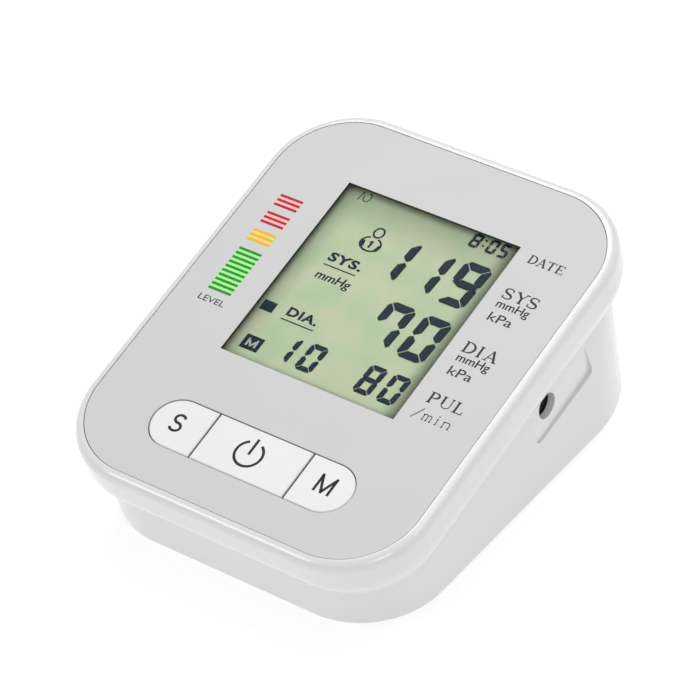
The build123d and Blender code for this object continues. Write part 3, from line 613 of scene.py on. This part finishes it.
# ---- what is printed or shown ---------------------------------------------------------------
def print_labels(plane):
    """Labels to the right of the display, and the word under the coloured scale."""
    mesh = bmesh.new()
    drawn_word(mesh, "DATE", serif_glyph, 29.0, 94.35, 2.6, 2.6, 1.2)
    drawn_word(mesh, "SYS", serif_glyph, 28.8, 82.6, 3.3, 3.55, 1.3)
    drawn_word(mesh, "DIA", serif_glyph, 28.8, 64.8, 3.3, 3.9, 1.36)
    drawn_word(mesh, "PUL", serif_glyph, 29.2, 48.55, 3.3, 3.6, 1.3)
    for base in (79.75, 61.95):
        for shift in (0.0, 0.05):
            letters(mesh, "mmHg", 29.35 + shift, base, 9.1, 2.35, bold=0.006)
        letters(mesh, "kPa", 29.6, base - 4.3, 6.6, 2.6, bold=0.004)
    drawn_word(mesh, "/min", thin_glyph, 28.9, 43.6, 3.0, 3.0, 1.15)
    letters(mesh, "LEVEL", -40.0, 51.35, 7.7, 1.75, bold=0.004)
    mark("panel_labels", mesh, plane, -INK_SUNK, INK_PROUD, ink_and_painted_shade("label_ink", INK_SOFT), "case")


def print_scale(plane):
    """The coloured scale left of the display: dark stripes on a lighter ground, in four blocks."""
    left, right = -39.4, -32.6
    stripe = 0.74
    pitch = 1.493
    blocks = (                  # colour, name, top edge, stripes
        ("red", "upper_red", 87.7, 3),
        ("red", "lower_red", 81.75, 3),
        ("yellow", "yellow", 75.7, 3),
        ("green", "green", 69.3, 10),
    )
    inks = {}
    for colour, (dark, light) in SCALE_COLOURS.items():
        inks[colour] = (ink_and_painted_shade(colour + "_dark", dark), ink_and_painted_shade(colour + "_light", light))
    for colour, name, top, count in blocks:
        bottom = top - pitch * (count - 1) - stripe
        ground = bmesh.new()
        rectangle(ground, left, right, bottom, top)
        mark(name + "_ground", ground, plane, -INK_SUNK, INK_PROUD, inks[colour][1], "case")
        stripes = bmesh.new()
        for i in range(count):
            rectangle(stripes, left, right, top - pitch * i - stripe, top - pitch * i)
        mark(name + "_stripes", stripes, plane, INK_PROUD / 2, INK_PROUD * 2, inks[colour][0], "case")


def letter_m(mesh, left, right, foot, cap, half):
    """An M drawn along its stroke centres, with its middle vertex on the base line."""
    middle = (left + right) / 2
    for x in (left, right):
        ribbon(mesh, [(x, foot), (x, cap)], half)
        ribbon(mesh, [(x, cap - half), (middle, foot + half)], half)
    rectangle(mesh, middle - half, middle + half, foot, foot + half * 2)


def print_key_legends(frame, plane):
    """An S, a power sign and an M, each on its own key."""
    legend_ink = ink_and_painted_shade("key_ink", INK_DARK)
    top = top_height(frame, "power_button", plane)
    heights = (top - INK_SUNK, top + INK_PROUD)
    half_line = 0.36

    mesh = bmesh.new()
    upper = arc(-21.92, 18.95, 1.32, 1.16, 22, 262, 24)
    lower = arc(-21.96, 16.62, 1.45, 1.20, 82, -158, 24)
    ribbon(mesh, upper + lower, half_line)
    mark("set_legend", mesh, plane, *heights, legend_ink, "set_key")

    mesh = bmesh.new()
    centre_x, centre_y, radius = -0.68, 17.6, 3.6
    ribbon(mesh, arc(centre_x, centre_y, radius, radius, 119, 421, 48), half_line)
    ribbon(mesh, [(centre_x, centre_y - 0.2), (centre_x, centre_y + 4.6)], half_line)
    mark("power_legend", mesh, plane, *heights, legend_ink, "power_key")

    mesh = bmesh.new()
    letter_m(mesh, 19.35, 23.3, 15.5, 20.7, half_line)
    mark("memory_legend", mesh, plane, *heights, legend_ink, "memory_key")


def show_readings(frame, plane):
    """The display's lit segments, on top of its front glass."""
    top = top_height(frame, "lcd_front_glass", plane)
    heights = (top - SEGMENT_SUNK, top + SEGMENT_PROUD)
    lit = ink_and_painted_shade("segments", SEGMENT, 0.5, 0.25)

    mesh = bmesh.new()
    columns = (1.35, 11.4, 21.75)
    digits(mesh, "119", columns, 76.1, 8.0, 13.9, 2.4, 0.2)
    digits(mesh, "70", columns[1:], 58.0, 8.0, 13.8, 2.4, 0.2)
    digits(mesh, "10", (-9.05, -1.65), 44.3, 5.0, 8.5, 1.5, 0.12)
    digits(mesh, "80", (15.2, 22.0), 44.6, 5.0, 8.9, 1.5, 0.12)
    mark("reading_digits", mesh, plane, *heights, lit, "case")

    mesh = bmesh.new()
    digits(mesh, "8", (14.5,), 93.8, 2.7, 4.4, 0.8, 0.05)
    digits(mesh, "05", (19.3, 22.6), 93.8, 2.65, 4.4, 0.8, 0.05)
    for y in (95.0, 96.7):
        rectangle(mesh, 15.35, 15.95, y, y + 0.6)
    mark("clock_digits", mesh, plane, *heights, lit, "case")

    mesh = bmesh.new()
    letters(mesh, "SYS.", -17.9, 75.7, 9.8, 2.8, bold=0.04, shear=0.05, spacing=1.12)
    rectangle(mesh, -17.9, -8.4, 74.15, 74.5)
    for shift in (0.0, 0.12):
        letters(mesh, "mmHg", shift - 17.8, 69.9, 10.1, 2.5, bold=0.004, shear=0.1)
    letters(mesh, "DIA.", -17.6, 57.0, 8.9, 2.7, bold=0.038, spacing=1.12)
    rectangle(mesh, -18.0, -8.4, 55.5, 55.85)
    mark("display_words", mesh, plane, *heights, lit, "case")

    mesh = bmesh.new()
    rectangle(mesh, -24.9, -21.1, 55.95, 59.05)
    rectangle(mesh, -22.8, -17.55, 44.15, 48.4)
    ribbon(mesh, arc(-10.35, 88.1, 1.35, 1.5, 0, 345, 24), 0.26, closed=True)
    ribbon(mesh, arc(-10.5, 84.3, 2.85, 2.15, 112, 428, 32), 0.26)
    ribbon(mesh, [(-12.8, 84.9), (-12.3, 82.9)], 0.48)
    ribbon(mesh, [(-8.3, 82.8), (-7.8, 84.6)], 0.48)
    ribbon(mesh, [(-10.45, 83.1), (-10.25, 85.3)], 0.3)
    ribbon(mesh, [(-10.3, 85.2), (-11.0, 84.7)], 0.26)
    mark("display_signs", mesh, plane, *heights, lit, "case")

    mesh = bmesh.new()
    letter_m(mesh, -21.4, -18.95, 45.15, 47.5, 0.27)
    above = (heights[1] - 0.005, heights[1] + 0.01)
    mark("memory_sign_letter", mesh, plane, *above, ink_and_painted_shade("reversed_letter", (0.42, 0.50, 0.42)), "case")

    mesh = bmesh.new()
    ribbon(mesh, [(-21.6, 95.0), (-21.1, 97.9)], 0.2)
    ribbon(mesh, arc(-19.5, 96.5, 1.0, 1.35, 90, -200, 20), 0.2)
    mark("faint_sign", mesh, plane, *heights, ink_and_painted_shade("faint_segments", (0.06, 0.11, 0.07)), "case")


def line_window(frame, plane):
    """A thin dark strip over the face panel's inner walls around the display window, from the lens up to the
    panel's top face.
    """
    low = top_height(frame, "display_lens", plane) - INK_SUNK
    proud = 0.05
    half_w, half_l = WINDOW_W / 2 + INK_SUNK, WINDOW_L / 2 + INK_SUNK
    mesh = bmesh.new()
    for sign in (-1, 1):
        x0, x1 = sorted((sign * half_w, sign * (half_w - proud)))
        rectangle(mesh, x0, x1, WINDOW_Y - half_l, WINDOW_Y + half_l)
        y0, y1 = sorted((sign * half_l, sign * (half_l - proud)))
        rectangle(mesh, proud - half_w, half_w - proud, WINDOW_Y + y0, WINDOW_Y + y1)
    mark("window_edge", mesh, plane, low, -INK_SUNK, ink_and_painted_shade("window_wall_dark", (0.05, 0.055, 0.053)), "case")


def paint_seam_shade(plane):
    """Painted shade: a dark strip in the bottom of the groove between the face panel and the rim, where the
    groove is in shade.
    """
    half_w, length, radius = PANEL_W / 2 + SEAM / 2, PANEL_L, PANEL_R
    path = []
    corners = ((1, length, 0), (-1, length, 90), (-1, 0.0, 180), (1, 0.0, 270))
    for side, y, start in corners:
        cx = side * (half_w - radius)
        cy = y + SEAM / 2 - radius if y else radius - SEAM / 2
        path += arc(cx, cy, radius, radius, start, start + 90, 24)
    mesh = bmesh.new()
    ribbon(mesh, path, SEAM / 2 + INK_SUNK, closed=True)
    # painted shade in the groove
    mark("panel_seam_painted_shade", mesh, plane, *PAINTED_SEAM_SHADE, ink_and_painted_shade("seam_painted_shade", (0.10, 0.10, 0.10)), "case")


def paint_key_gap_shade(plane):
    """Painted shade: dark strips deep in the gaps around and between the keys, clear of the keys on every
    side, where the gaps are in shade.
    """
    end = KEYS_W / 2 - KEYS_L / 2
    radius = (KEYS_L - KEY_GAP) / 2
    path = arc(end, KEYS_Y, radius, radius, -90, 90, 24) + arc(-end, KEYS_Y, radius, radius, 90, 270, 24)
    half = KEY_GAP * 0.3
    mesh = bmesh.new()
    ribbon(mesh, path, half, closed=True)
    for x in (-KEY_SPLIT, KEY_SPLIT):
        rectangle(mesh, x - 2 * half, x + 2 * half, KEYS_Y - radius, KEYS_Y + radius)
    # painted shade in the key gaps
    mark("key_gap_painted_shade", mesh, plane, *PAINTED_GAP_SHADE, ink_and_painted_shade("gap_dark", (0.02, 0.02, 0.02)), "case")


# ---- materials of the CAD nodes --------------------------------------------------------------
def slot_looks(plane):
    """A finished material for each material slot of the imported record."""
    return {
        "case_white": moulded("case_white", CASE, 0.32, 0.45, 0.0016, 0.008, coat=0.75),
        "panel_grey": moulded("panel_grey", PANEL_GREY, 0.58, 0.35, 0.004, 0.012),
        "key_white": moulded("key_white", KEY_WHITE, 0.46, 0.4, 0.003, 0.01),
        "clear_lens": clear_lens("clear_lens"),
        "lcd_glass": display_glass("lcd_glass", plane),
        "reflector": moulded("reflector", (0.62, 0.66, 0.56), 0.3, 0.2, 0.003, 0.03),
        "inner_white": moulded("inner_white", (0.74, 0.74, 0.72), 0.5, 0.6, 0.01, 0.03),
        "black_plastic": moulded("black_plastic", (0.032, 0.032, 0.034), 0.42, 0.4, 0.006, 0.15),
        "pcb_green": circuit_board("pcb_green"),
        "chip_black": moulded("chip_black", (0.022, 0.022, 0.025), 0.55, 0.25, 0.01, 0.2),
        "steel": metal("steel", (0.55, 0.55, 0.56), 0.3),
        "nickel": metal("nickel", (0.72, 0.70, 0.66), 0.18),
        "brass": metal("brass", (0.70, 0.52, 0.24), 0.26),
        "copper": metal("copper", (0.72, 0.34, 0.17), 0.32, (1.0, 1.0, 14.0), 0.02),
        "ferrite": moulded("ferrite", (0.05, 0.048, 0.05), 0.7, 0.5, 0.02, 0.2),
        "silicone": moulded("silicone", (0.62, 0.60, 0.55), 0.42, 1.0, 0.01, 0.05, coat=0.1),
        "rubber_dark": moulded("rubber_dark", (0.03, 0.03, 0.032), 0.75, 0.6, 0.02, 0.2),
        "rubber_foot": moulded("rubber_foot", (0.055, 0.055, 0.058), 0.8, 0.7, 0.02, 0.2),
        "foam": moulded("foam", (0.09, 0.09, 0.095), 0.95, 0.8, 0.12, 0.3),
        "cell_skin": cell_wrap("cell_skin", True),
        "wire_skin": moulded("wire_skin", (0.35, 0.02, 0.02), 0.45, 0.8, 0.01, 0.1),
        "aluminium_can": metal("aluminium_can", (0.78, 0.78, 0.79), 0.28, (8.0, 1.0, 1.0)),
    }


def dress_nodes(frame, plane):
    """Gives every CAD node the finished material of its slot."""
    looks = slot_looks(plane)
    reversed_cell = cell_wrap("cell_skin_reversed", False)
    for name, node in frame["nodes"].items():
        slot = node.data.materials[0].name.split(".")[0]
        look = looks[slot]
        if name in REVERSED_CELLS:
            look = reversed_cell
        for index in range(len(node.data.materials)):
            node.data.materials[index] = look


# ---- stage ----------------------------------------------------------------------------------
def view_axes(azimuth, elevation):
    """Directions back from the subject, to the right and up, for a camera with no roll."""
    a, e = math.radians(azimuth), math.radians(elevation)
    back = Vector((math.sin(a) * math.cos(e), -math.cos(a) * math.cos(e), math.sin(e)))
    right = Vector((math.cos(a), math.sin(a), 0.0))
    return back, right, back.cross(right)


def make_camera():
    back, right, up = view_axes(CAMERA_AZIMUTH, CAMERA_ELEVATION)
    roll = math.radians(CAMERA_ROLL)
    rolled_right = math.cos(roll) * right - math.sin(roll) * up
    rolled_up = math.cos(roll) * up + math.sin(roll) * right
    data = bpy.data.cameras.new("camera")
    data.lens = CAMERA_LENS
    data.sensor_width = SENSOR_WIDTH
    data.clip_start = CLIP_START
    data.clip_end = CLIP_END
    camera = bpy.data.objects.new("camera", data)
    turn = Matrix((rolled_right, rolled_up, back)).transposed().to_4x4()
    camera.matrix_world = Matrix.Translation(CAMERA_TARGET + back * CAMERA_DISTANCE) @ turn
    bpy.context.scene.collection.objects.link(camera)
    bpy.context.scene.camera = camera


def area_light(name, azimuth, elevation, distance, size, power):
    """A soft square light aimed at the object."""
    back, right, up = view_axes(azimuth, elevation)
    data = bpy.data.lights.new(name, "AREA")
    data.size = size
    data.energy = power
    light = bpy.data.objects.new(name, data)
    turn = Matrix((right, up, back)).transposed().to_4x4()
    light.matrix_world = Matrix.Translation(CAMERA_TARGET + back * distance) @ turn
    bpy.context.scene.collection.objects.link(light)


def make_stage():
    """A pale floor, a white surround and soft lights."""
    world = bpy.data.worlds.new("surround")
    world.use_nodes = True
    surround = world.node_tree.nodes["Background"].inputs
    surround["Color"].default_value = (1.0, 1.0, 1.0, 1.0)
    surround["Strength"].default_value = SURROUND_STRENGTH
    bpy.context.scene.world = world
    bpy.context.scene.view_settings.view_transform = "Standard"

    half = FLOOR_HALF
    data = bpy.data.meshes.new("floor")
    corners = [(-half, -half, 0.0), (half, -half, 0.0), (half, half, 0.0), (-half, half, 0.0)]
    data.from_pydata(corners, [], [(0, 1, 2, 3)])
    floor = bpy.data.objects.new("floor", data)
    paper = moulded("floor", FLOOR_GREY, 0.9, 6.0, 0.01, 0.004)
    glow = paper.node_tree.nodes["Principled BSDF"].inputs
    glow["Emission Color"].default_value = (1.0, 1.0, 1.0, 1.0)
    glow["Emission Strength"].default_value = FLOOR_GLOW
    data.materials.append(paper)
    bpy.context.scene.collection.objects.link(floor)

    for light in LIGHTS:
        area_light(*light)


def main():
    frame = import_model()
    plane = panel_plane(frame)
    make_camera()
    make_stage()
    dress_nodes(frame, plane)
    line_window(frame, plane)
    paint_seam_shade(plane)
    paint_key_gap_shade(plane)
    show_readings(frame, plane)
    print_labels(plane)
    print_scale(plane)
    print_key_legends(frame, plane)


main()
